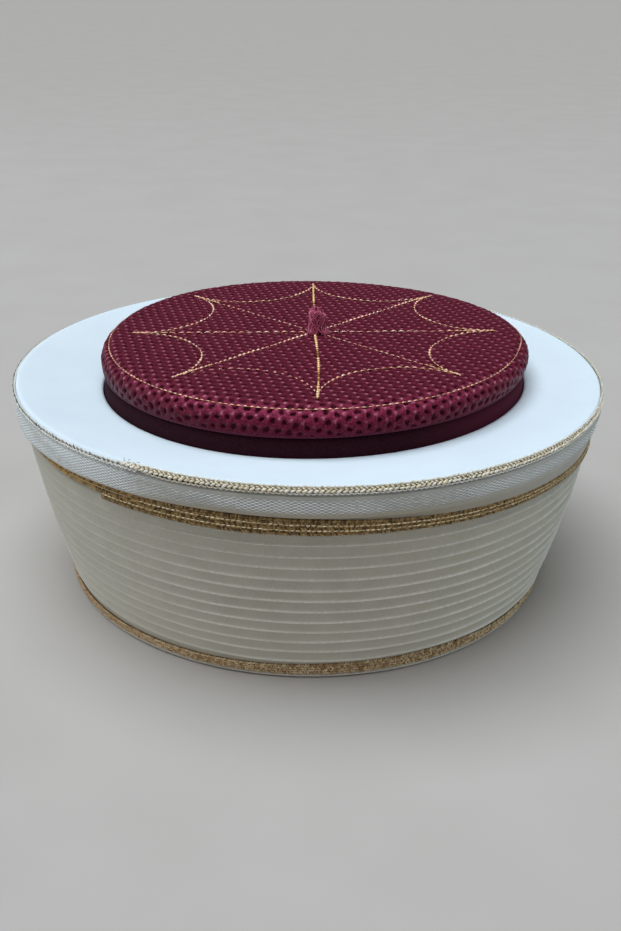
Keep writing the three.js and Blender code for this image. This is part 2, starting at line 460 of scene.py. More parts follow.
def add_piece(name, parts, materials, kinds, node=None):
    """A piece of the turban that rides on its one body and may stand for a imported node. Each part is the
    number of its kind of material, its shape, and values for its points by name."""
    mesh = make_mesh(name, parts)
    for kind in kinds:
        mesh.materials.append(materials[kind])
    for value_name in sorted({value_name for _, _, values in parts for value_name in values}):
        columns = [values.get(value_name, np.zeros(len(part[0]))) for _, part, values in parts]
        attribute = mesh.attributes.new(value_name, "FLOAT", "POINT")
        attribute.data.foreach_set("value", np.concatenate(columns).astype(np.float32))
    piece = bpy.data.objects.new(name, mesh)
    bpy.context.scene.collection.objects.link(piece)
    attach(piece, BODY)
    if node:
        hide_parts(node)
    return piece


def shades(part, threads, seed, high=1.0):
    """One random shade for every thread of a part whose threads have equally many points."""
    random = np.random.default_rng(seed)
    return {"shade": np.repeat(random.uniform(0.0, high, threads), len(part[0]) // threads)}


# Material helpers


def new_material(name, **sockets):
    material = bpy.data.materials.new(name)
    material.use_nodes = True
    for socket, value in sockets.items():
        shader_of(material).inputs[socket.replace("_", " ")].default_value = value
    return material


def shader_of(material):
    return material.node_tree.nodes["Principled BSDF"]


def feed(material, target, value):
    """Sets an input to a number or colour, or links it to another node's output."""
    if isinstance(value, bpy.types.NodeSocket):
        material.node_tree.links.new(value, target)
    else:
        target.default_value = value


def add_node(material, kind, inputs=(), **settings):
    node = material.node_tree.nodes.new("ShaderNode" + kind)
    for name, value in settings.items():
        setattr(node, name, value)
    for name, value in dict(inputs).items():
        feed(material, node.inputs[name], value)
    return node


def maths(material, operation, first, second=0.0):
    return add_node(material, "Math", {0: first, 1: second}, operation=operation).outputs[0]


def blend(material, first, second, share):
    """A share of the first value and the rest of the second."""
    weighted = maths(material, "MULTIPLY", first, share)
    return maths(material, "ADD", weighted, maths(material, "MULTIPLY", second, 1 - share))


def object_place(material):
    return add_node(material, "TexCoord").outputs["Object"]


def noise(material, size, detail=2.0):
    """Soft noise from 0 to 1 with features of a given size."""
    inputs = {"Vector": object_place(material), "Scale": 1 / (size * MM), "Detail": detail}
    return add_node(material, "TexNoise", inputs).outputs["Fac"]


def value_of(material, name):
    return add_node(material, "Attribute", attribute_name=name).outputs["Fac"]


def ramp(material, factor, low, high, start=0.3, stop=0.7):
    """A colour from low to high as the factor goes from start to stop."""
    node = add_node(material, "ValToRGB", {"Fac": factor})
    for element, place, colour in zip(node.color_ramp.elements, (start, stop), (low, high)):
        element.position = place
        element.color = (*colour, 1)
    return node.outputs["Color"]


def mix_colours(material, factor, first, second):
    node = add_node(material, "Mix", {0: factor}, data_type="RGBA")
    feed(material, node.inputs[6], first)
    feed(material, node.inputs[7], second)
    return node.outputs[2]


def polar_place(material):
    """Azimuth in radians, distance from the axis and height in metres, as three outputs."""
    place = add_node(material, "SeparateXYZ", {"Vector": object_place(material)})
    x, y, z = place.outputs
    azimuth = maths(material, "ARCTAN2", x, maths(material, "MULTIPLY", y, -1.0))
    squared = maths(material, "ADD", maths(material, "MULTIPLY", x, x), maths(material, "MULTIPLY", y, y))
    return azimuth, maths(material, "SQRT", squared), z


def wave(material, value, period):
    """A sine from -1 to 1 of a length, with a period in millimetres."""
    return maths(material, "SINE", maths(material, "MULTIPLY", value, TURN / (period * MM)))


def cross_weave(material, across, along, pitch):
    """Plain weave: threads over and under at a pitch, as a height."""
    return maths(material, "MULTIPLY", wave(material, across, 2 * pitch), wave(material, along, 2 * pitch))


def set_colour(material, colour):
    feed(material, shader_of(material).inputs["Base Color"], colour)


def set_roughness(material, factor, low, high):
    node = add_node(material, "MapRange", {"Value": factor, "To Min": low, "To Max": high})
    feed(material, shader_of(material).inputs["Roughness"], node.outputs["Result"])


def set_bump(material, height, depth):
    bump = add_node(material, "Bump", {"Height": height, "Distance": depth * MM, "Strength": 1.0})
    feed(material, shader_of(material).inputs["Normal"], bump.outputs["Normal"])


def set_surface(material, colour, grain, rough, smooth, depth):
    """A colour, and a grain that is rough in its hollows, smooth on its ridges and as deep as said."""
    set_colour(material, colour)
    set_roughness(material, grain, rough, smooth)
    set_bump(material, grain, depth)
    return material


# Materials


def mesh_cloth():
    """Satiny burgundy spacer mesh: fine filaments on the strands, a painted sheen along the front shoulder,
    raised knots painted pink as highlights, and holes painted darker into their hollows as shade."""
    material = new_material("burgundy_mesh", Specular_IOR_Level=0.22, Specular_Tint=(1.0, 0.28, 0.42, 1))
    # dark colour of the holes: painted shade in their hollows
    hole = (0.042, 0.003, 0.009, 1)
    filament = noise(material, 0.6, 3)
    strand = ramp(material, filament, (0.042, 0.0022, 0.0072), (0.178, 0.014, 0.038))
    # paler colour of the painted sheen on the front shoulder
    sheen_colour = ramp(material, filament, (0.09, 0.006, 0.02), (0.5, 0.055, 0.15))
    # pink painted highlight on the raised knots, standing in for their glints
    pink = ramp(material, filament, (0.4, 0.085, 0.15), (0.86, 0.36, 0.48))
    knot = maths(material, "POWER", value_of(material, "knot"), 2.0)
    colour = mix_colours(material, value_of(material, "worn"), strand, sheen_colour)
    colour = mix_colours(material, knot, colour, pink)
    colour = mix_colours(material, value_of(material, "hollow"), colour, hole)
    return set_surface(material, colour, filament, 0.55, 0.36, 0.28)


def plain_burgundy():
    """The plain burgundy backing under the mesh, and the binding at its edge."""
    material = new_material("burgundy_binding", Specular_IOR_Level=0.25, Specular_Tint=(1.0, 0.5, 0.6, 1))
    thread = noise(material, 0.5, 3)
    colour = ramp(material, thread, (0.055, 0.007, 0.018), (0.14, 0.02, 0.046))
    return set_surface(material, colour, thread, 0.75, 0.5, 0.2)


def maroon_cloth():
    """Near-black maroon felt of the fez, with painted light that makes it a paler red on the right."""
    material = new_material("maroon_cloth", Specular_IOR_Level=0.12, Specular_Tint=(1.0, 0.5, 0.6, 1))
    nap = noise(material, 0.8, 4)
    dark = ramp(material, nap, (0.019, 0.0045, 0.0075), (0.033, 0.008, 0.0135))
    # paler red on the right: painted light
    colour = mix_colours(material, value_of(material, "red"), dark, (0.085, 0.01, 0.024, 1))
    return set_surface(material, colour, nap, 0.95, 0.8, 0.2)


def tuft_thread():
    """Pinkish burgundy yarn, a shade of its own for each thread."""
    material = new_material("burgundy_thread", Specular_IOR_Level=0.3, Specular_Tint=(1.0, 0.55, 0.7, 1))
    fibre = noise(material, 0.3, 3)
    shade = blend(material, value_of(material, "shade"), fibre, 0.7)
    colour = ramp(material, shade, (0.25, 0.016, 0.055), (1.0, 0.29, 0.46), 0.1, 0.9)
    return set_surface(material, colour, fibre, 0.7, 0.45, 0.15)


def white_cloth():
    """Smooth bright white cotton of the top disc, slightly cool, with a very fine weave."""
    material = new_material("white_cloth", Roughness=0.9, Sheen_Weight=0.05)
    place = add_node(material, "SeparateXYZ", {"Vector": object_place(material)})
    weave = cross_weave(material, place.outputs[0], place.outputs[1], 0.45)
    set_colour(material, ramp(material, noise(material, 22, 3), (0.765, 0.863, 0.952), (0.8, 0.895, 0.98)))
    set_bump(material, weave, 0.04)
    return material


def pleat_cloth():
    """Matt white cotton of the wound wrap, a little ivory, with a fine grain. Its face is darkened as
    painted shade under the collar, with painted light towards the foot and painted highlights on the broken
    lips."""
    material = new_material("white_pleats", Sheen_Weight=0.08)
    # colour of the painted light towards the foot
    foot_light_colour = (0.84, 0.8, 0.68, 1)
    # colour of the painted highlights on the lips
    lip_highlight_colour = (0.95, 0.92, 0.84, 1)
    azimuth, radius, height = polar_place(material)
    weave = cross_weave(material, maths(material, "MULTIPLY", azimuth, radius), height, 0.5)
    grain = noise(material, 0.7, 3)
    shade = blend(material, noise(material, 9, 4), grain, 0.45)
    # the face colours are darker than the white cloth: painted shade on the wall under the collar
    face = ramp(material, shade, (0.508, 0.479, 0.397), (0.616, 0.583, 0.496))
    # painted light that grows towards the foot
    foot = add_node(material, "MapRange", {"Value": height, "From Min": 34 * MM, "From Max": 0.0})
    face = mix_colours(material, maths(material, "MULTIPLY", foot.outputs["Result"], 0.6), face, foot_light_colour)
    # painted highlights on the lips, broken up by noise
    broken = maths(material, "ADD", noise(material, 1.3, 1), 0.3)
    lip = maths(material, "MULTIPLY", value_of(material, "lip"), broken)
    set_colour(material, mix_colours(material, lip, face, lip_highlight_colour))
    set_roughness(material, grain, 0.95, 0.85)
    set_bump(material, maths(material, "ADD", maths(material, "MULTIPLY", weave, 0.5), grain), 0.08)
    return material


def birdseye_cloth():
    """Silvery white bird's-eye ribbon: a grey ground with a warm lower selvage, painted light that makes it
    paler on the left and a little on the right, and bright floating threads."""
    material = new_material("white_birdseye", Specular_IOR_Level=0.5)
    dash = value_of(material, "dash")
    ground = ramp(material, noise(material, 16, 3), (0.42, 0.412, 0.38), (0.51, 0.5, 0.465))
    ground = mix_colours(material, value_of(material, "warm"), ground, (0.47, 0.425, 0.34, 1))
    # painted light on the sides of the ribbon
    ground = mix_colours(material, value_of(material, "pale"), ground, (0.8, 0.82, 0.82, 1))
    set_colour(material, mix_colours(material, dash, ground, (0.93, 0.97, 1.0, 1)))
    set_roughness(material, dash, 0.75, 0.4)
    set_bump(material, noise(material, 0.35, 2), 0.06)
    return material


def thread_metal(name, dark, light, metal, rough, sheen, gloss):
    """Metal-wound thread, with a shade of its own for each stitch or bead."""
    material = new_material(name, Metallic=metal, Specular_IOR_Level=gloss, Sheen_Weight=sheen,
                            Specular_Tint=(1.0, 0.88, 0.74, 1), Sheen_Tint=(1.0, 0.72, 0.5, 1))
    fine = noise(material, 0.22, 2)
    shade = blend(material, value_of(material, "shade"), fine, 0.6)
    colour = ramp(material, shade, dark, light, 0.15, 0.85)
    return set_surface(material, colour, fine, rough + 0.12, rough - 0.12, 0.02)


def cotton_thread(name, dark, light):
    """Dull cotton of the edge threads and of the tapes behind the braids."""
    material = new_material(name, Sheen_Weight=0.05)
    fine = noise(material, 0.3, 2)
    return set_surface(material, ramp(material, fine, dark, light), fine, 0.85, 0.65, 0.06)


def floor_paper():
    """Plain pale paper, warm enough to look neutral under the cool light."""
    material = new_material("floor_paper", Roughness=0.9, Specular_IOR_Level=0.2)
    set_colour(material, ramp(material, noise(material, 60, 2), (0.49, 0.455, 0.43), (0.51, 0.475, 0.45)))
    return material


def make_materials():
    """Every material of the turban by a short name."""
    materials = {
        "mesh": mesh_cloth(),
        "binding": plain_burgundy(),
        "maroon": maroon_cloth(),
        "tuft": tuft_thread(),
        "white": white_cloth(),
        "pleats": pleat_cloth(),
        "birdseye": birdseye_cloth(),
    }
    for name, row in METAL_THREADS.items():
        materials[name] = thread_metal(name, *row)
    for name, row in COTTON_THREADS.items():
        materials[name] = cotton_thread(name, *row)
    return materials


# The crown


def crown_profile():
    """Lengths of cloth from the crown's middle, and the place and slope of the outline there."""
    line = rounded(CROWN_ROWS, 2.2)
    line[:, 1] = CROWN_TOP - line[:, 1]
    return length_along(line), line, unit(np.gradient(line, axis=0))


CROWN_LENGTH, CROWN_LINE, CROWN_ALONG = crown_profile()
CROWN_CLOTH = CROWN_LENGTH[-1]


def crown_swell(points):
    """How far the crown's top edge bulges up at the back left, less how far it sinks at the back right."""
    azimuth = np.arctan2(points[..., 0], -points[..., 1])
    radius = np.hypot(points[..., 0], points[..., 1])
    at_left = np.maximum(0, np.cos(azimuth + math.radians(120))) ** 3
    at_right = np.maximum(0, np.cos(azimuth - math.radians(150))) ** 3
    bulge = EDGE_BULGE * at_left * smooth_step(radius, 75, 84)
    sink = EDGE_SINK * at_right * smooth_step(radius, 60, 82)
    return crown_share(points) * (bulge - sink)


def on_crown(flat, lift):
    """Points of the flat cloth, x and y from its middle, laid over the crown and lifted off it."""
    distance = np.hypot(flat[..., 0], flat[..., 1])
    length = np.minimum(distance, CROWN_CLOTH)
    direction = flat / np.maximum(distance, 1e-6)[..., None]
    radius, height = (np.interp(length, CROWN_LENGTH, column) for column in CROWN_LINE.T)
    out, down = (np.interp(length, CROWN_LENGTH, column) for column in CROWN_ALONG.T)
    normal = np.concatenate([direction * -down[..., None], out[..., None]], -1)
    points = np.concatenate([direction * radius[..., None], height[..., None]], -1)
    points[..., 2] += crown_swell(points)
    return lean_with_crown(points + normal * np.asarray(lift)[..., None]), normal


def star_angle(spoke):
    return math.radians(45 * spoke + STAR_TURN)


def spoke_line(spoke):
    """One spoke of the star as points on the flat cloth, from the tuft's edge to its tip."""
    tuft_edge = 4.2
    direction = towards(star_angle(spoke))
    side = np.array([-direction[1], direction[0]])
    share = np.linspace(0, 1, 200)[:, None]
    length = tuft_edge + (SPOKES[spoke]["tip"] - tuft_edge) * share
    bow = SPOKES[spoke]["bow"] * np.sin(math.pi * share)
    return np.array(STAR_CENTRE) + length * direction + bow * side


def scallop_line(spoke):
    """The arc from one spoke's tip to the next, which leaves both tips along their spokes."""
    half = math.radians(22.5)
    middle = star_angle(spoke) + half
    centre = np.array(STAR_CENTRE) + STAR_TIP / math.cos(half) * towards(middle)
    sweep = math.pi / 2 - half
    angle = middle + math.pi + np.linspace(-sweep, sweep, 240)
    return centre + STAR_TIP * math.tan(half) * towards(angle)


def circle_cloth(azimuth):
    """Length of cloth from the circle's middle to its thread, which slips over the edge at the back."""
    at_front = np.interp(STITCHED_CIRCLE, CROWN_LINE[:, 0], CROWN_LENGTH)
    return at_front + CIRCLE_SLIP * smooth_step(-np.cos(azimuth + math.radians(10)), -0.12, 0.45)


def circle_line():
    angle = np.linspace(0, TURN, 721)
    return np.array(CIRCLE_CENTRE) + circle_cloth(angle)[:, None] * towards(angle)


def groove(flat):
    """How far the stitched seams draw the mesh down, for points on the flat cloth."""
    lines = [line(spoke)[::4] for line in (spoke_line, scallop_line) for spoke in range(len(SPOKES))]
    nearest = np.full(len(flat), np.inf)
    for point in np.concatenate(lines):
        nearest = np.minimum(nearest, (flat[:, 0] - point[0]) ** 2 + (flat[:, 1] - point[1]) ** 2)
    off_centre = flat - np.array(CIRCLE_CENTRE)
    azimuth = np.arctan2(off_centre[:, 0], -off_centre[:, 1])
    from_circle = np.hypot(off_centre[:, 0], off_centre[:, 1]) - circle_cloth(azimuth)
    seams = SEAM_DEPTH * np.exp(-nearest / SEAM_WIDTH**2)
    return seams + CIRCLE_DEPTH * np.exp(-((from_circle / CIRCLE_WIDTH) ** 2))


def mesh_centres():
    """Middles of the holes of the flat mesh cloth, in a hexagonal lattice."""
    count = int(2.4 * CROWN_CLOTH / MESH_PITCH)
    across, along = np.meshgrid(np.arange(-count, count + 1), np.arange(-count, count + 1))
    x = MESH_PITCH * (across + along / 2).ravel()
    y = MESH_PITCH * math.sqrt(3) / 2 * along.ravel()
    turn = math.radians(MESH_TURN)
    flat = np.stack([x * math.cos(turn) - y * math.sin(turn), x * math.sin(turn) + y * math.cos(turn)], 1)
    return flat[np.hypot(x, y) < CROWN_CLOTH + 0.5 * MESH_PITCH]


def honeycomb():
    """Hexagons on the flat cloth that share their corners, each with an uneven rounded hole sunk into it.
    Every other corner is a raised knot. Gives points, their depth, hollowness and knots, and faces."""
    random = np.random.default_rng(11)
    centres = mesh_centres()
    count = len(centres)
    side = np.arange(CELL_SIDES)
    angle = np.radians(MESH_TURN) + all_round(CELL_SIDES)
    circle = np.stack([np.cos(angle), np.sin(angle)], 1)
    to_corner = np.where(side % 2, MESH_PITCH / math.sqrt(3), MESH_PITCH / 2)
    edge = np.round(centres[:, None] + circle * to_corner[:, None], 2).reshape(-1, 2)
    corners, first_use, shared = np.unique(edge, axis=0, return_index=True, return_inverse=True)
    knot = (first_use % CELL_SIDES % 4 == 1).astype(float)
    flats, depths, hollows = [corners], [-KNOT_RISE * knot], [0 * knot]
    numbers = [shared.reshape(count, CELL_SIDES)]
    first = len(corners)
    size = random.uniform(0.74, 1.06, (count, 1))
    oval = 0.2 * np.cos(2 * (angle - random.uniform(0, TURN, (count, 1))))
    uneven = 0.09 * np.cos(3 * (angle - random.uniform(0, TURN, (count, 1))))
    shift = random.normal(0, 0.12, (count, 1, 2))
    for ring in CELL_RINGS:
        radius = ring["radius"] * size * (1 + oval + uneven)
        flats.append((centres[:, None] + shift + circle * radius[..., None]).reshape(-1, 2))
        depths.append(np.full(count * CELL_SIDES, ring["depth"]))
        hollows.append(np.full(count * CELL_SIDES, ring["hollow"]))
        numbers.append(first + np.arange(count * CELL_SIDES).reshape(count, CELL_SIDES))
        first += count * CELL_SIDES
    faces = [squares(outer, np.roll(outer, -1, 1), np.roll(inner, -1, 1), inner)
             for outer, inner in zip(numbers[:-1], numbers[1:])]
    faces.append(numbers[-1])
    knots = [knot, np.zeros(first - len(knot))]
    columns = (np.concatenate(column) for column in (flats, depths, hollows, knots))
    return *columns, faces


def mesh_cells():
    """The honeycomb laid over the crown and drawn down at the seams. On the skirt its knots get less
    painted highlight and its left gets painted shade, and its front shoulder gets a painted sheen."""
    flat, depth, hollow, knot, faces = honeycomb()
    distance = np.hypot(flat[:, 0], flat[:, 1])
    from_edge = CROWN_CLOTH - distance
    fade = np.clip(from_edge / 1.8, 0, 1)
    points, _ = on_crown(flat, -depth * fade - groove(flat))
    on_skirt = 1 - smooth_step(from_edge, 3, 9)
    leftness, frontness = np.maximum(0, -flat / distance[:, None]).T
    values = {
        # painted shade in the holes, and painted shade over the left of the skirt
        "hollow": np.maximum(hollow * fade, 0.5 * leftness * on_skirt),
        # painted highlight on the knots, weaker on the skirt
        "knot": knot * (1 - 0.7 * on_skirt),
        # painted sheen along the front shoulder, where light catches the mesh
        "worn": 0.6 * np.exp(-(((from_edge - 10) / 4) ** 2)) * frontness**2,
    }
    return (points, faces), values


def crown_lining(columns=160):
    """The plain underside of the crown, from the middle of its ceiling to its sewn edge."""
    inside = CROWN_EDGE - CROWN_THICKNESS
    ceiling = CROWN_TOP - CROWN_THICKNESS
    corner = 3
    rows = [
        (0.01, ceiling),
        (inside - corner, ceiling),
        (inside, ceiling - corner),
        (inside, CROWN_FOOT),
        (CROWN_EDGE - 0.4, CROWN_FOOT),
    ]
    return belt(lean_with_crown(turned(rows, columns)), closed=False)


def crown_binding(columns=288):
    """The turned edge of the mesh cloth, a soft roll round the foot of the skirt."""
    half_width, half_height = 0.75, 0.55
    azimuth = all_round(columns)
    height = CROWN_FOOT + half_height + ripple(azimuth, 5, 0.12)
    points, outward = around(azimuth, CROWN_EDGE - 0.25, height)
    roll, faces = tubes(points[None], outward[None], half_width, half_height, 10, closed=True)
    return lean_with_crown(roll), faces


def add_crown(materials):
    """The mesh over its plain lining, with a turned edge."""
    cells, values = mesh_cells()
    parts = [(0, cells, values), (1, crown_lining(), {}), (1, crown_binding(), {})]
    crown = add_piece("crown_mesh", parts, materials, ["mesh", "binding"], "crown_cap")


# The gold stitching


def stitches(line, length, gap, thread, depth, seed):
    """Stitches along a seam on the flat cloth: each rises out of the mesh and dips back into it."""
    random = np.random.default_rng(seed)
    measure = length_along(line)
    starts = np.arange(0, measure[-1] - length, length + gap)
    slip, _, swelling = random.normal(size=(3, len(starts)))  # the row between them has no use
    starts = starts + 0.05 * length * slip
    share = np.linspace(0, 1, 7)
    at = starts[:, None] + share * length
    flat = np.stack([np.interp(at, measure, column) for column in line.T], -1)
    arch = np.sin(math.pi * share)
    full = 0.88 + 0.28 * np.cos(starts / 4.5 + seed) + 0.12 * swelling
    full = np.clip(full, 0.4, 1.15)[:, None]
    lift = thread * full * (0.8 * arch - 0.1) - 0.55 * depth
    points, normal = on_crown(flat, lift)
    size = thread * full * (0.45 + 0.55 * np.sqrt(np.maximum(arch, 0)))
    part = tubes(points, normal, 1.12 * size, 0.55 * size, 8)
    return part, shades(part, len(starts), seed)


def under_thread(line, thread, depth, seed):
    """The darker thread that runs on under the stitches of a seam."""
    points, normal = on_crown(line, np.full(len(line), 0.35 * thread - 0.9 * depth))
    part = tubes(points[None], normal[None], 0.8 * thread, 0.55 * thread, 6)
    return part, shades(part, len(line), seed)


def add_stitching(materials):
    """The eight-point star, its scallops and the stitched circle, in gold thread."""
    gold, rose, dark = range(3)
    parts = []
    for spoke, style in enumerate(SPOKES):
        thick = style["thread"]
        line = spoke_line(spoke)
        arc = scallop_line(spoke)
        kind = gold if spoke in GOLDEN_SPOKES else rose
        parts.append((kind, *stitches(line, style["stitch"], style["gap"], thick, SEAM_DEPTH, 300 + spoke)))
        if style["gap"] < CLOSE_GAP:
            parts.append((dark, *under_thread(line, thick, SEAM_DEPTH, 330 + spoke)))
        if spoke == FAINT_SCALLOP:
            parts.append((rose, *stitches(arc, 1.5, 2.0, 0.28, SEAM_DEPTH, 310 + spoke)))
        else:
            parts.append((rose, *stitches(arc, 1.9, 1.0, 0.44, SEAM_DEPTH, 310 + spoke)))
            parts.append((dark, *under_thread(arc, 0.2, SEAM_DEPTH, 340 + spoke)))
        parts.append((gold, *stitches(line[150:], 1.4, 0.5, 0.42, 0.4 * SEAM_DEPTH, 360 + spoke)))
    parts.append((rose, *stitches(circle_line(), 1.6, 0.8, 0.26, 1.1 * CIRCLE_DEPTH, 320)))
    parts.append((dark, *under_thread(circle_line(), 0.2, CIRCLE_DEPTH, 350)))
    kinds = ["gold_thread", "rose_gold_thread", "dark_gold_thread"]
    add_piece("gold_stitching", parts, materials, kinds)


# The tuft


def add_tuft(materials, strands=150, steps=11):
    """A rough bundle of threads that cross each other in the middle of the crown, frayed at its foot."""
    random = np.random.default_rng(4)
    base = np.array([FEZ_SHIFT * CROWN_TOP / RING_SEAT + 0.9, -1.0, CROWN_TOP])
    share = np.linspace(0, 1, steps)
    angle = random.uniform(0, TURN, (strands, 1))
    spread = np.sqrt(random.uniform(0.02, 1, (strands, 1)))
    root = (4.4 + 1.3 * np.maximum(0, np.sin(angle))) * spread
    body = 3.5 * spread
    radius = body + (root - body) * np.clip(1 - share / 0.3, 0, 1) ** 1.6
    radius = radius * (1 - 0.3 * smooth_step(share, 0.7, 1))
    twist = angle + random.normal(0.0, 0.75, (strands, 1)) * share
    twist = twist + 0.22 * np.sin(share * random.uniform(5, 14, (strands, 1)) + 3 * angle)
    leftness = 0.5 - 0.5 * np.sin(angle)
    tall = (0.74 + 0.26 * leftness) * random.uniform(0.7, 1, (strands, 1)) ** 0.5 * (TUFT_HEIGHT + 0.3)
    height = tall * np.sin(share * 0.5 * math.pi) ** 1.1 - 0.2
    paths = np.stack([radius * np.sin(twist), -radius * np.cos(twist), height], -1) + base
    outward = unit(np.stack([np.sin(twist), -np.cos(twist), 0.2 + 0 * twist], -1))
    size = random.uniform(0.2, 0.36, (strands, 1)) * (1 - 0.3 * share**4)
    part = tubes(paths, outward, size, size, 6)
    parts = [(0, part, shades(part, strands, 8))]
    add_piece("tuft_threads", parts, materials, ["tuft"], "crown_tuft")


# The fez wall


def fez_radius(height):
    return MOUTH_RADIUS + (FEZ_TOP_RADIUS - MOUTH_RADIUS) * height / FEZ_TOP


def add_fez_wall(materials, columns=256):
    """The fez's felt wall, a slightly uneven cone with painted light that makes it redder on the right."""
    azimuth = all_round(columns)
    heights = np.linspace(0, FEZ_TOP, 24)
    outside = [(fez_radius(height), height) for height in heights]
    inside = [(fez_radius(height) - FEZ_THICKNESS, height) for height in heights[::-1]]
    rows = np.array(outside + inside)
    points = turned(rows, columns)
    bumps = ripple(azimuth, 31, 0.12) * np.sin(math.pi * rows[:, 1:] / FEZ_TOP)
    points[..., :2] *= (1 + bumps / rows[:, :1])[..., None]
    # painted light on the right of the wall
    red = np.broadcast_to(smooth_step(np.sin(azimuth), 0.3, 0.95), points.shape[:2]).ravel()
    parts = [(0, belt(lean_with_fez(points)), {"red": red})]
    wall = add_piece("fez_wall_cloth", parts, materials, ["maroon"], "fez_wall")


# Lines round the turban, as functions of an azimuth in radians


def edge_of(base, edge):
    """The height of an edge that is given by pairs of azimuth and height above a base."""
    return lambda azimuth: base + along_edge(edge, azimuth)


def shifted(line, rise):
    return lambda azimuth: line(azimuth) + rise


def between(foot, top, share):
    """The height at a share of the way from a foot to a top."""
    return lambda azimuth: foot(azimuth) + share * (top(azimuth) - foot(azimuth))


def part_of(foot, top, share):
    """A share of the height from a foot to a top."""
    return lambda azimuth: share * (top(azimuth) - foot(azimuth))


band_edge = edge_of(LOWER_BRAID_TOP, BAND_EDGES)
lower_braid_top = edge_of(LOWER_BRAID_TOP, LOWER_BRAID_TOPS)
lower_braid_foot = edge_of(COLLAR_FOOT, LOWER_BRAID_FEET)
tail_foot = edge_of(LOWER_BRAID_TOP, TAIL_FEET)
bottom_braid_top = edge_of(BOTTOM_BRAID_TOP, BOTTOM_BRAID_TOPS)


def on_tail(azimuth):
    """Whether only the narrow tail of the lower braid is there."""
    degrees = in_degrees(azimuth)
    return (degrees > TAIL_START) & (degrees < TAIL_END)


def visible_foot(azimuth):
    """Lower edge of the lower braid or of its tail, whichever is there."""
    return np.where(on_tail(azimuth), tail_foot(azimuth), lower_braid_foot(azimuth))


def visible_top(azimuth):
    """Upper edge of the lower braid or of its tail, whichever is there."""
    return np.where(on_tail(azimuth), band_edge(azimuth) - 0.1, lower_braid_top(azimuth) - 0.2)


def past_joint(azimuth):
    """Degrees from the joint of the top braid round to the right, from -60 to 300."""
    return np.mod(np.degrees(azimuth) - TOP_BRAID_START + 60, 360) - 60


def alone(azimuth):
    """Where the top braid has one row, on the left: from 0 to 1."""
    turn = past_joint(azimuth)
    return 1 + smooth_step(turn, 205, TOP_BRAID_DOUBLE) - smooth_step(turn, -4, 5)


# The white wrap


def add_top_ring(materials, columns=256):
    """The smooth disc that closes the wrap, dished towards the fez and turned down at the rim."""
    inner = fez_radius(RING_SEAT - RING_THICKNESS) + GAP
    outer = RIM_RADIUS
    under_rim = RIM_TOP - RING_THICKNESS - GAP
    edge = 0.8
    upper = [
        (outer, under_rim + edge),
        (outer, RIM_TOP - edge),
        (outer - edge, RIM_TOP),
        (COLLAR_BACK, RIM_TOP - GAP),
        (inner, RING_SEAT),
    ]
    lower = [(inner, RING_SEAT - RING_THICKNESS), (COLLAR_BACK, under_rim), (outer - edge, under_rim)]
    upper = rounded(upper, 1.6, 0.9)
    rows = np.concatenate([upper, rounded(lower, 1, 2.4)])
    lean = np.clip((COLLAR_BACK - rows[:, :1]) / (COLLAR_BACK - inner), 0, 1)
    points = turned(rows, columns)
    on_top = np.arange(len(rows))[:, None] < len(upper)
    sag = np.sin(math.pi * np.clip((rows[:, :1] - inner) / (outer - inner), 0, 1))
    points[..., 2] += np.where(on_top, sag * ripple(all_round(columns), 17, 0.18, 2, 4), 0)
    outer_share = smooth_step(rows[:, :1], inner, COLLAR_BACK)
    points = points + outer_share[..., None] * (lean_with_collar(points) - points)
    parts = [(0, belt(lean_with_fez(points, lean)), {})]
    ring = add_piece("top_ring_cloth", parts, materials, ["white"], "top_ring")


def band_face(azimuth, height):
    """Radius of the ribbon's face at a height. It turns in at its lower edge and under the top braid."""
    lower = band_edge(azimuth)
    share = (height - lower) / (BAND_TOP - lower)
    leftness = np.maximum(0, -np.sin(azimuth)) ** 2
    turn_in = (0.4 - 0.15 * leftness) * (1 - smooth_step(share, -0.02, 0.06))
    under_braid = (1.1 - 0.7 * alone(azimuth)) * smooth_step(height, BAND_TOP - 0.2, BAND_TOP + 0.5)
    belly = 0.2 * np.sin(math.pi * np.clip(share, 0, 1))
    return BAND_FACE - 0.2 - turn_in - under_braid + belly + ripple(azimuth, 41, 0.12)


def ribbon_side_light(azimuth):
    """Painted light on the ribbon's ground, mostly on the left and a little on the right."""
    degrees = in_degrees(azimuth)
    left = smooth_step(-degrees, 15, 52) * (1 - 0.5 * smooth_step(-degrees, 110, 170))
    return 0.85 * left + 0.3 * smooth_step(degrees, 15, 60) * (1 - smooth_step(degrees, 110, 170))


def float_places(repeats, row_pitch):
    """Azimuth, height and brightness of the ribbon's floating threads, which are staggered row by row."""
    random = np.random.default_rng(45)
    first_row = RIM_TOP - 1.4
    rows = int((first_row - BAND_FOOT) / row_pitch)
    row, place = np.meshgrid(np.arange(rows), np.arange(repeats), indexing="ij")
    azimuth = ((place + 0.5 * (row % 2)) / repeats * TURN).ravel()
    azimuth = np.mod(azimuth + math.pi, TURN) - math.pi
    height = (first_row - row * row_pitch).ravel()
    lower = band_edge(azimuth)
    share = (height - lower) / (BAND_TOP - lower)
    left = alone(azimuth)
    below_top = 1 - smooth_step(height, BAND_TOP - 2.4 + 4.0 * left, BAND_TOP - 0.8 + 3.0 * left)
    fade = smooth_step(share, 0.12 - 0.1 * left, 0.36 - 0.2 * left) * below_top
    # a painted glint patch at the left of the front, and painted light that brightens the floats on the
    # right
    glint_patch = np.exp(-(((np.degrees(azimuth) + 36) / 8) ** 2))
    bright = 0.72 + ripple(azimuth, 43, 0.45, 5) + ripple(azimuth + height / 20, 44, 0.4, 9) + 0.5 * glint_patch
    bright = bright + 0.3 * smooth_step(np.sin(azimuth), 0.2, 0.7)
    bright = np.clip(bright + random.normal(0, 0.15, len(azimuth)), 0.12, 1) * fade
    kept = fade > 0.15
    return azimuth[kept], height[kept], bright[kept]


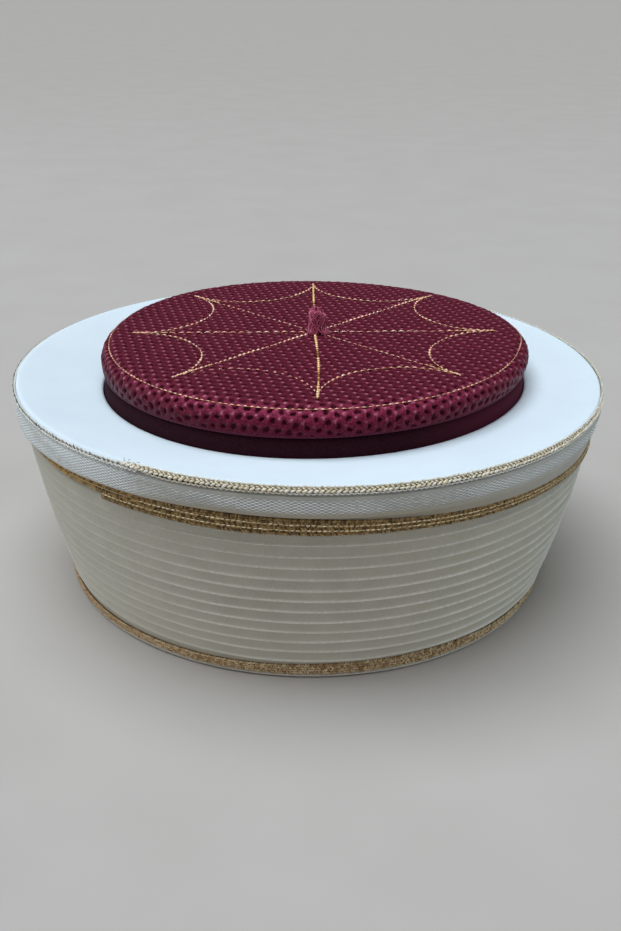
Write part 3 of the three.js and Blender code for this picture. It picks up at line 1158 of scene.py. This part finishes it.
def birdseye_floats(repeats=300, row_pitch=0.515):
    """The ribbon's bright floating threads, each a small low lens along its row."""
    azimuth, height, bright = float_places(repeats, row_pitch)
    half_length, half_tall, rise = 0.98, 0.22, 0.16
    along = np.array([-1, -0.45, 0.45, 1, 0.45, -0.45, -0.35, 0.35]) * half_length
    upward = np.array([0, 1, 1, 0, -1, -1, 0, 0]) * half_tall
    out = np.array([-0.02] * 6 + [rise] * 2)
    radius = band_face(azimuth, height)[:, None] + out
    points, _ = around(azimuth[:, None] + along / radius, radius, height[:, None] + upward)
    first = len(along) * np.arange(len(azimuth))[:, None]
    tips = np.array([(0, 5, 6), (0, 6, 1), (3, 2, 7), (3, 7, 4)])
    sides = np.array([(5, 4, 7, 6), (6, 7, 2, 1)])
    back = np.array([(0, 1, 2, 3, 4, 5)])
    faces = [(first[:, None] + group).reshape(-1, group.shape[1]) for group in (tips, sides, back)]
    return (lean_with_collar(points).reshape(-1, 3), faces), {"dash": np.repeat(bright, len(along))}


def add_rim_band(materials, columns=480):
    """Bird's-eye ribbon round the rim: bright floats on a plain ground, with a plain foot behind the lower
    braid. On the left it reaches up to the one row of the top braid."""
    azimuth = both_ways(columns)
    level_line = 0 * azimuth
    lower = band_edge(azimuth)
    share = np.concatenate([[0, 0.03, 0.07, 0.12], np.linspace(0.2, 1, 12)])[:, None]
    head = BAND_TOP + np.array([0.25, 0.5])[:, None] + level_line
    top = BAND_TOP + 0.55 + 2.05 * alone(azimuth)
    outside = np.concatenate([lower + (BAND_TOP - lower) * share, head, [top]])
    face = band_face(azimuth, outside)
    lining = face[-1] - 0.32
    back = COLLAR_BACK + GAP + level_line
    behind_braid = COLLAR_BACK + 2.2 + level_line
    strip = COLLAR_BACK + 2.2 + 0.6 * smooth_step(np.sin(azimuth), 0.1, 0.5)
    strip_foot = np.minimum(visible_top(azimuth) + 0.2, lower - 0.1)
    foot = visible_foot(azimuth) + 0.25
    heights_below = [foot, strip_foot - 0.05, strip_foot, lower - 0.02]
    heights = np.concatenate([heights_below, outside, [top, head[0], head[0] - 0.2, foot]])
    radii_below = [behind_braid, behind_braid, strip, strip]
    radii = np.concatenate([radii_below, face, [lining, lining, back, back]])
    points, _ = around(azimuth[None], radii, heights)
    # painted light on the sides of the ribbon
    pale = np.broadcast_to(ribbon_side_light(azimuth), heights.shape).ravel()
    selvage = 1 - smooth_step((heights - lower) / (BAND_TOP - lower), 0.15, 0.45)
    warm = (selvage * np.maximum(0, np.cos(azimuth)) ** 2).ravel()
    ground = belt(lean_with_collar(points))
    parts = [(0, ground, {"pale": pale, "warm": warm}), (0, *birdseye_floats())]
    band = add_piece("rim_band_ribbon", parts, materials, ["birdseye"], "rim_band")


def wall_radius(height):
    """Radius of the wrap's wall at a height, under the tucks."""
    share = (height - BOTTOM_BRAID_TOP) / (WALL_HEAD - BOTTOM_BRAID_TOP)
    straight = PLEAT_FOOT_RADIUS + (WALL_HEAD_RADIUS - PLEAT_FOOT_RADIUS) * share
    return straight + WALL_BULGE * np.sin(math.pi * share)


def tuck_rows(azimuth):
    """Radius, height and painted light of the pleats' outside, row by row, with a slight waver in each of
    the lips. The lips are softer on the left and crisper on the right, in shape and in their painted
    highlights, and the left of the wall gets painted light. The pleats spread at the sides, on the left
    mostly towards the collar."""
    pitch = (LAST_LIP - FIRST_LIP) / (TUCKS - 1)
    leftness = np.maximum(0, -np.sin(azimuth)) ** 2
    rightness = np.maximum(0, np.sin(azimuth)) ** 2
    soft = smooth_step(-np.sin(azimuth), 0.02, 0.65)
    crisp = smooth_step(np.sin(azimuth), 0.1, 0.6)
    radii, heights, pale = [], [], []
    for tuck in range(TUCKS):
        waver = ripple(azimuth, 100 + tuck, 0.2)
        swing = 1 + ripple(azimuth, 200 + tuck, 0.22, 4)
        # strength of each lip's painted highlight: weaker on the left, a little stronger on the right
        strength = np.clip(0.85 + ripple(azimuth, 220 + tuck, 0.2, 5), 0.4, 1)
        strength = strength * (1 - 0.88 * soft + 0.15 * crisp)
        for share, stand, lip in TUCK_ROWS:
            height = FIRST_LIP + (tuck + share) * pitch
            left_spread = LEFT_SPREAD * leftness * (0.3 + 0.7 * (height / WALL_HEAD) ** 2)
            spread = left_spread + RIGHT_SPREAD * rightness
            stand_out = LIP_STAND * stand * swing * (1 - 0.72 * soft + 0.3 * crisp)
            radii.append(wall_radius(height) + spread + stand_out)
            heights.append(height + waver * (0.25 + 0.75 * stand))
            # painted highlight on the lips, and painted light over the left of the wall
            pale.append(lip * strength + LEFT_PAINTED_LIGHT * soft)
    return radii, heights, pale


def add_pleats(materials, columns=320):
    """The wound wrap: pleats outside, a plain face behind the collar and the fez's cone inside. Under the
    tail of the lower braid it rises to the tail."""
    azimuth = all_round(columns)
    level_line = 0 * azimuth
    bottom = HEM_TOP + GAP
    top_at_fez = RING_SEAT - RING_THICKNESS - GAP
    top_at_collar = RIM_TOP - RING_THICKNESS - 2 * GAP
    under_tail = np.where(on_tail(azimuth), 1.0, 0.0)
    shelf = COLLAR_FOOT + under_tail * (tail_foot(azimuth) - 0.1 - COLLAR_FOOT)
    foot = bottom_braid_top(azimuth) + 0.1
    before = [
        (fez_radius(bottom) + GAP, bottom),
        (WALL_FOOT_RADIUS, bottom),
        (WALL_FOOT_RADIUS, foot - 0.3),
        (wall_radius(foot), foot),
    ]
    after = [
        (COLLAR_BACK + 1.8 * under_tail, shelf - 0.3 * under_tail),
        (COLLAR_BACK, shelf),
        (COLLAR_BACK, top_at_collar),
        (fez_radius(top_at_fez) + GAP, top_at_fez),
    ]
    rows = [(radius, height, 0) for radius, height in before]
    rows += zip(*tuck_rows(azimuth))
    rows += [(radius, height, 0) for radius, height in after]
    radii, heights, pale = (np.array([value + level_line for value in column]) for column in zip(*rows))
    points, _ = around(azimuth[None], radii, heights)
    moved = lean_with_collar(points)
    for row in (0, -1):
        moved[row] = lean_with_fez(points[row])
    # painted highlights on the lips and painted light on the left of the wall, as the lip value
    parts = [(0, belt(moved), {"lip": pale.ravel()})]
    wrap = add_piece("pleated_wrap_cloth", parts, materials, ["pleats"], "pleated_wrap")


def add_hem(materials, columns=256):
    """The slim rolled hem that the turban stands on."""
    inner = fez_radius(0) + GAP
    roll = 0.7
    edge = WALL_FOOT_RADIUS + 1.0
    top = HEM_TOP - 0.3
    rows = [(inner, 0), (edge - roll, 0), (edge + roll / 2, roll), (edge, top), (inner, top)]
    part = belt(turned(rounded(rows + rows[:1], 0.8, 0.35)[:-1], columns))
    # painted light over the whole hem, in the lips' highlight colour
    parts = [(0, part, {"lip": np.full(len(part[0]), 0.9)})]
    hem = add_piece("bottom_hem_cloth", parts, materials, ["pleats"], "bottom_hem")


# The braids


def spread_round(start, end, pitch, radius):
    """Azimuths in radians of the middles of stitches at a pitch, between two azimuths in degrees."""
    count = int(math.radians(end - start) * radius / pitch)
    return np.radians(start) + (np.arange(count) + 0.5) / count * math.radians(end - start)


def beads(middle, radius, height, length, slant, thick, seed, brightest=1.0):
    """Slanting bead-like stitches side by side along a braid."""
    random = np.random.default_rng(seed)
    share = np.linspace(-1, 1, 6)
    lean = (slant * random.normal(1, 0.28, len(middle)))[:, None]
    middle = middle + random.normal(0, 0.08, len(middle)) / radius
    azimuth = middle[:, None] + share * length / 2 / radius
    bulge = 0.16 * (1 - share**2) + random.normal(0, 0.08, len(middle))[:, None]
    points, outward = around(azimuth, radius + bulge, height(azimuth) + lean * share)
    size = thick * np.sqrt(1 - 0.8 * share**2) * random.normal(1, 0.12, len(middle))[:, None]
    part = tubes(lean_with_collar(points), outward, size, 0.9 * size, 6)
    return part, shades(part, len(middle), seed, brightest)


def wrapped_row(start, end, radius, height, tall, pitch, slant, seed, cover=0.6, steps=4):
    """A row of thread wraps side by side, each laid over the front of the row from below to above."""
    random = np.random.default_rng(seed)
    half_thick, sides = 0.36, 4
    middle = spread_round(start, end, pitch, radius)
    count = len(middle)
    middle = middle + random.normal(0, 0.1, count) * pitch / radius
    share = np.linspace(-1, 1, steps)
    lean = slant + random.normal(0, 0.1, count)
    azimuth = middle[:, None] + share * (lean / radius)[:, None]
    rise = height(middle)[:, None] + share * 0.5 * (tall(middle) * random.normal(1, 0.06, count))[:, None]
    out = radius - 0.45 * share**2 + random.normal(0, 0.06, count)[:, None]
    points, outward = around(azimuth, out, rise)
    width = cover * pitch * (1 - 0.2 * share**2)
    part = tubes(lean_with_collar(points), outward, width, half_thick, sides)
    return part, shades(part, count, seed)


def collar_thread(azimuth, radius, height, half_tall, half_thick, sides=6):
    """One thread along the collar, for azimuths in radians."""
    points, outward = around(azimuth, radius, height)
    return tubes(lean_with_collar(points)[None], outward[None], half_tall, half_thick, sides), {}


def looped_edge(start, end, radius, height, seed, swing=0.2):
    """A thread that runs along part of a braid's edge in small loops."""
    thick = 0.27
    loops = int(math.radians(end - start) * radius / BEAD_PITCH)
    share = np.linspace(0, 1, 6 * loops + 1)
    azimuth = np.radians(start + (end - start) * share)
    wavy = height(azimuth) + swing * np.cos(loops * TURN * share) + ripple(azimuth, seed, 0.08)
    return collar_thread(azimuth, radius, wavy, thick, thick)


def edge_thread(start, end, radius, height, thick):
    """A straight thread along part of a braid's edge."""
    azimuth = np.radians(np.linspace(start, end, 240))
    return collar_thread(azimuth, radius, height(azimuth), thick, thick)


def tape(start, end, radius, height, half_tall):
    """A flat strip of tape along part of a braid."""
    azimuth = np.radians(np.linspace(start, end, 200))
    return collar_thread(azimuth, radius, height(azimuth), half_tall, 0.16, 8)


def braid_backing(bottom, top, radius, depth, columns=256):
    """The woven tape all round behind the threads of a braid."""
    azimuth = both_ways(columns)
    low, high = bottom(azimuth), top(azimuth)
    radii = np.array([radius - depth, radius, radius, radius - depth])[:, None]
    points, _ = around(azimuth[None], radii, np.array([low, low + 0.1, high - 0.1, high]))
    return belt(lean_with_collar(points))


def top_row_height(drop):
    """Height of a row of the top braid. At the joint the rows lie closer, and their free end stands up a
    little. They sit lower at the back."""
    def height(azimuth):
        turn = past_joint(azimuth)
        opened = 0.3 + 0.7 * smooth_step(turn, -8, 3) * (1 - smooth_step(turn, 200, 230))
        end = 0.4 * np.exp(-((turn / 9) ** 2))
        back = 0.25 * (1 - np.cos(azimuth))
        return RIM_TOP - drop * opened + end - back + ripple(azimuth, 51, 0.1)
    return height


def single_row_height(drop, rise):
    """A height under the rim that is more by the rise where the braid has one row, on the left."""
    return lambda azimuth: RIM_TOP - drop + rise * alone(azimuth) - 0.25 * (1 - np.cos(azimuth))


def frayed_ends(count=4):
    """Thin loose thread ends that stick up at the joint of the top braid."""
    random = np.random.default_rng(64)
    thick = 0.08
    share = np.linspace(0, 1, 6)
    start = np.radians(TOP_BRAID_START - 2.5 + random.uniform(-1.2, 1.2, (count, 1)))
    azimuth = start + random.normal(0, 0.01, (count, 1)) * share
    inward = random.uniform(0.5, 2.5, (count, 1)) * share
    height = RIM_TOP + 0.2 + random.uniform(0.2, 0.9, (count, 1)) * np.sin(2.4 * share)
    points, outward = around(azimuth, TOP_BRAID_FACE - 1 - inward, height)
    part = tubes(lean_with_collar(points), outward, thick, thick, 5)
    return part, shades(part, count, 64)


def add_top_braid(materials):
    """Three rows of beads over a tan tape, from the rim's top to its face, with looped threads along their
    lower edge. On the left, where they end, a row of grey dashes lies on a white tape under the rim's edge,
    above a white looped thread."""
    champagne, gold, dark, white, tan = range(5)
    face = TOP_BRAID_FACE - 0.5
    joint = TOP_BRAID_START
    double_end = joint + TOP_BRAID_DOUBLE
    upper = spread_round(joint - 3, double_end, BEAD_PITCH, face)
    middle = spread_round(joint - 5, double_end - 5, 0.9 * BEAD_PITCH, face)
    lower = spread_round(joint - 4, double_end - 10, BEAD_PITCH, face)
    dashes = spread_round(double_end, joint + 358, 1.15 * BEAD_PITCH, face)
    middle_height = top_row_height(0.68)
    left_loops = single_row_height(2.4, 0.8)
    left_tape = single_row_height(2.4, 1.5)
    parts = [
        (champagne, *beads(upper, face - 0.35, top_row_height(-0.05), 1.25, -0.3, thick=0.46, seed=61)),
        (gold, *beads(lower, face + 0.12, top_row_height(1.45), 1.75, 0.42, thick=0.48, seed=62)),
        (dark, *beads(dashes, face + 0.1, single_row_height(2.4, 1.6), 1.1, -0.42, thick=0.3, seed=63)),
        (white, *looped_edge(-183, joint - 0.8, face + 0.42, left_loops, seed=53, swing=0.3)),
        (white, *tape(double_end - 360, joint - 1, face - 0.05, left_tape, half_tall=0.55)),
        (champagne, *looped_edge(joint - 2, -3, face + 0.2, single_row_height(2.35, 1.85), seed=54)),
        (white, *looped_edge(-3, 177, face + 0.3, single_row_height(2.4, 0), seed=55)),
        (gold, *beads(middle, face - 0.05, middle_height, 1.15, -0.34, thick=0.34, seed=65, brightest=0.7)),
        (tan, *tape(joint - 2, double_end, face - 0.3, top_row_height(1.1), half_tall=1.1)),
        (dark, *frayed_ends()),
    ]
    kinds = ["champagne_thread", "bright_gold_thread", "dark_thread", "white_loop", "tan_tape"]
    add_piece("top_braid_rows", parts, materials, kinds, "top_braid")


def add_lower_braid(materials):
    """Three gold-brown rows with cream stitches between them and a grey thread along their foot, cut off
    square at the left of the front. A golden tail with a cream thread goes on from there and narrows under
    the band's edge, where a dark thread stands in for the edge's painted shadow."""
    brown, cream, old_gold, dark_tape, grey = range(5)
    face = LOWER_BRAID_FACE - 0.42
    pitch = 0.64
    row_tall = part_of(lower_braid_foot, lower_braid_top, 0.165)
    tail_tall = part_of(tail_foot, band_edge, 0.5)
    tail_end = 360 + UPPER_ROW_START
    parts = []
    for number, start in enumerate(LOWER_ROW_STARTS):
        for half, slant in enumerate((0.24, -0.24)):
            height = between(lower_braid_foot, lower_braid_top, (11 - 4 * number - 2 * half) / 12)
            seed = 90 + 2 * number + half
            row = wrapped_row(start, LOWER_BRAID_END, face, height, row_tall, pitch, slant, seed)
            parts.append((brown, *row))
    for number, start in enumerate(CREAM_ROW_STARTS):
        height = between(lower_braid_foot, lower_braid_top, (4 - 2 * number) / 6)
        middle = spread_round(start, LOWER_BRAID_END - 0.5, 1.75, face)
        parts.append((cream, *beads(middle, face + 0.16, height, 1.5, 0.04, thick=0.26, seed=75 + number)))
    for number, share in enumerate((0.75, 0.27)):
        height = between(tail_foot, band_edge, share)
        row = wrapped_row(LOWER_BRAID_END, tail_end, face - 0.25, height, tail_tall, pitch=1.05, slant=1.2,
                          seed=80 + number, cover=0.4)
        parts.append((old_gold, *row))
    backing = braid_backing(shifted(visible_foot, 0.4), visible_top, face - 0.43, depth=0.25)
    foot_line = shifted(lower_braid_foot, -0.28)
    parts.append((dark_tape, backing, {}))
    parts.append((grey, *edge_thread(LOWER_BRAID_START, LOWER_BRAID_END, face + 0.05, foot_line, 0.18)))
    # a dark thread under the band's edge on the left: painted shadow of that edge
    parts.append((dark_tape, *edge_thread(-58, UPPER_ROW_START, face, shifted(band_edge, -0.2), thick=0.2)))
    parts.append((cream, *edge_thread(-45, -30, face + 0.3, shifted(band_edge, -1.55), thick=0.17)))
    kinds = ["brown_gold_thread", "cream_stitch", "old_gold_thread", "braid_tape", "grey_edge"]
    add_piece("lower_braid_rows", parts, materials, kinds, "lower_braid")


def add_bottom_braid(materials, rows=4):
    """Slanting gold rows round the foot of the wrap, like a herringbone, narrower at the sides and darker
    on the left."""
    gold, rust = range(2)
    face = BOTTOM_BRAID_FACE - 0.25
    parts = []

    def foot(azimuth):
        return BOTTOM_BRAID_FOOT - 0.35 + 0 * azimuth

    for number in range(rows):
        height = between(foot, bottom_braid_top, (number + 0.5) / rows)
        tall = part_of(foot, bottom_braid_top, 0.95 / rows)
        slant = 0.55 if number % 2 else -0.55
        row, values = wrapped_row(0, 360, face, height, tall, 0.95, slant, 95 + number, cover=0.4, steps=3)
        values["shade"] *= 1 - 0.6 * np.clip(-row[0][:, 0] / face, 0, 1)
        parts.append((gold, row, values))
    backing = braid_backing(shifted(foot, 0.2), shifted(bottom_braid_top, -0.2), face - 0.35, depth=0.7)
    parts.append((rust, backing, {}))
    kinds = ["pale_gold_thread", "rust_tape"]
    add_piece("bottom_braid_rows", parts, materials, kinds, "bottom_braid")


# Stage


def add_floor():
    """A wide sheet of paper just under the hem."""
    size = 40.0
    mesh = bpy.data.meshes.new("floor")
    corners = [(-size, -size, 0), (size, -size, 0), (size, size, 0), (-size, size, 0)]
    mesh.from_pydata(corners, [], [(0, 1, 2, 3)])
    mesh.materials.append(floor_paper())
    floor = bpy.data.objects.new("floor", mesh)
    floor.location.z = -0.0002
    bpy.context.scene.collection.objects.link(floor)


def add_lamp(name, kind, source, aim, energy, colour, **settings):
    """A light that shines from its source, in metres, to what it aims at."""
    light = bpy.data.lights.new(name, kind)
    light.energy = energy
    light.color = colour
    for setting, value in settings.items():
        setattr(light, setting, value)
    lamp = bpy.data.objects.new(name, light)
    lamp.location = source
    lamp.rotation_euler = (Vector(aim) - Vector(source)).to_track_quat("-Z", "Y").to_euler()
    bpy.context.scene.collection.objects.link(lamp)


def add_lights():
    """Broad cool light from above and weaker light from the front, weak cool lights from both sides, and a
    faint pale surround."""
    sun = {"kind": "SUN", "aim": (0, 0, 0), "angle": math.radians(50)}
    disc = {"kind": "AREA", "aim": (0, 0, 0.06), "shape": "DISK", "size": 1.0}
    add_lamp("key_above", source=(-0.18, 0.03, 0.97), energy=2.46, colour=(0.87, 0.95, 1.0), **sun)
    add_lamp("front_above", source=(0.0, -0.55, 0.84), energy=0.52, colour=(0.96, 0.98, 1.0), **sun)
    add_lamp("side_left", source=(-1.4, 0.25, 0.55), energy=4.6, colour=(0.82, 0.94, 1.0), **disc)
    add_lamp("side_right", source=(1.4, 0.1, 0.5), energy=3.8, colour=(0.68, 0.89, 1.0), **disc)
    world = bpy.data.worlds.new("studio")
    world.use_nodes = True
    background = world.node_tree.nodes["Background"]
    background.inputs["Color"].default_value = (1.0, 0.99, 0.96, 1)
    background.inputs["Strength"].default_value = 0.06
    bpy.context.scene.world = world
    bpy.context.scene.view_settings.view_transform = "Standard"


def add_camera():
    """A view from the front, which looks down on the turban at about twenty-five degrees."""
    frame_height = 931
    focal_pixels = 1100
    sensor = 36
    position = Vector((0, -430.84, 236.91)) * MM
    pitch, yaw, roll = 0.4318, 0.0030, 0.0171
    forward = Vector((math.sin(yaw) * math.cos(pitch), math.cos(yaw) * math.cos(pitch), -math.sin(pitch)))
    right = Vector((math.cos(yaw), -math.sin(yaw), 0))
    upward = right.cross(forward)
    tilted_right = math.cos(roll) * right + math.sin(roll) * upward
    tilted_up = math.cos(roll) * upward - math.sin(roll) * right
    camera_data = bpy.data.cameras.new("camera")
    camera_data.sensor_width = sensor
    camera_data.lens = sensor * focal_pixels / frame_height
    camera_data.clip_start = 0.01
    camera = bpy.data.objects.new("camera", camera_data)
    turn = Matrix((tilted_right, tilted_up, -forward)).transposed()
    camera.matrix_world = Matrix.Translation(position) @ turn.to_4x4()
    bpy.context.scene.collection.objects.link(camera)
    bpy.context.scene.camera = camera


def build():
    materials = make_materials()
    add_fez_wall(materials)
    add_crown(materials)
    add_stitching(materials)
    add_tuft(materials)
    add_top_ring(materials)
    add_top_braid(materials)
    add_rim_band(materials)
    add_lower_braid(materials)
    add_pleats(materials)
    add_bottom_braid(materials)
    add_hem(materials)
    add_floor()
    add_lights()
    add_camera()


build()
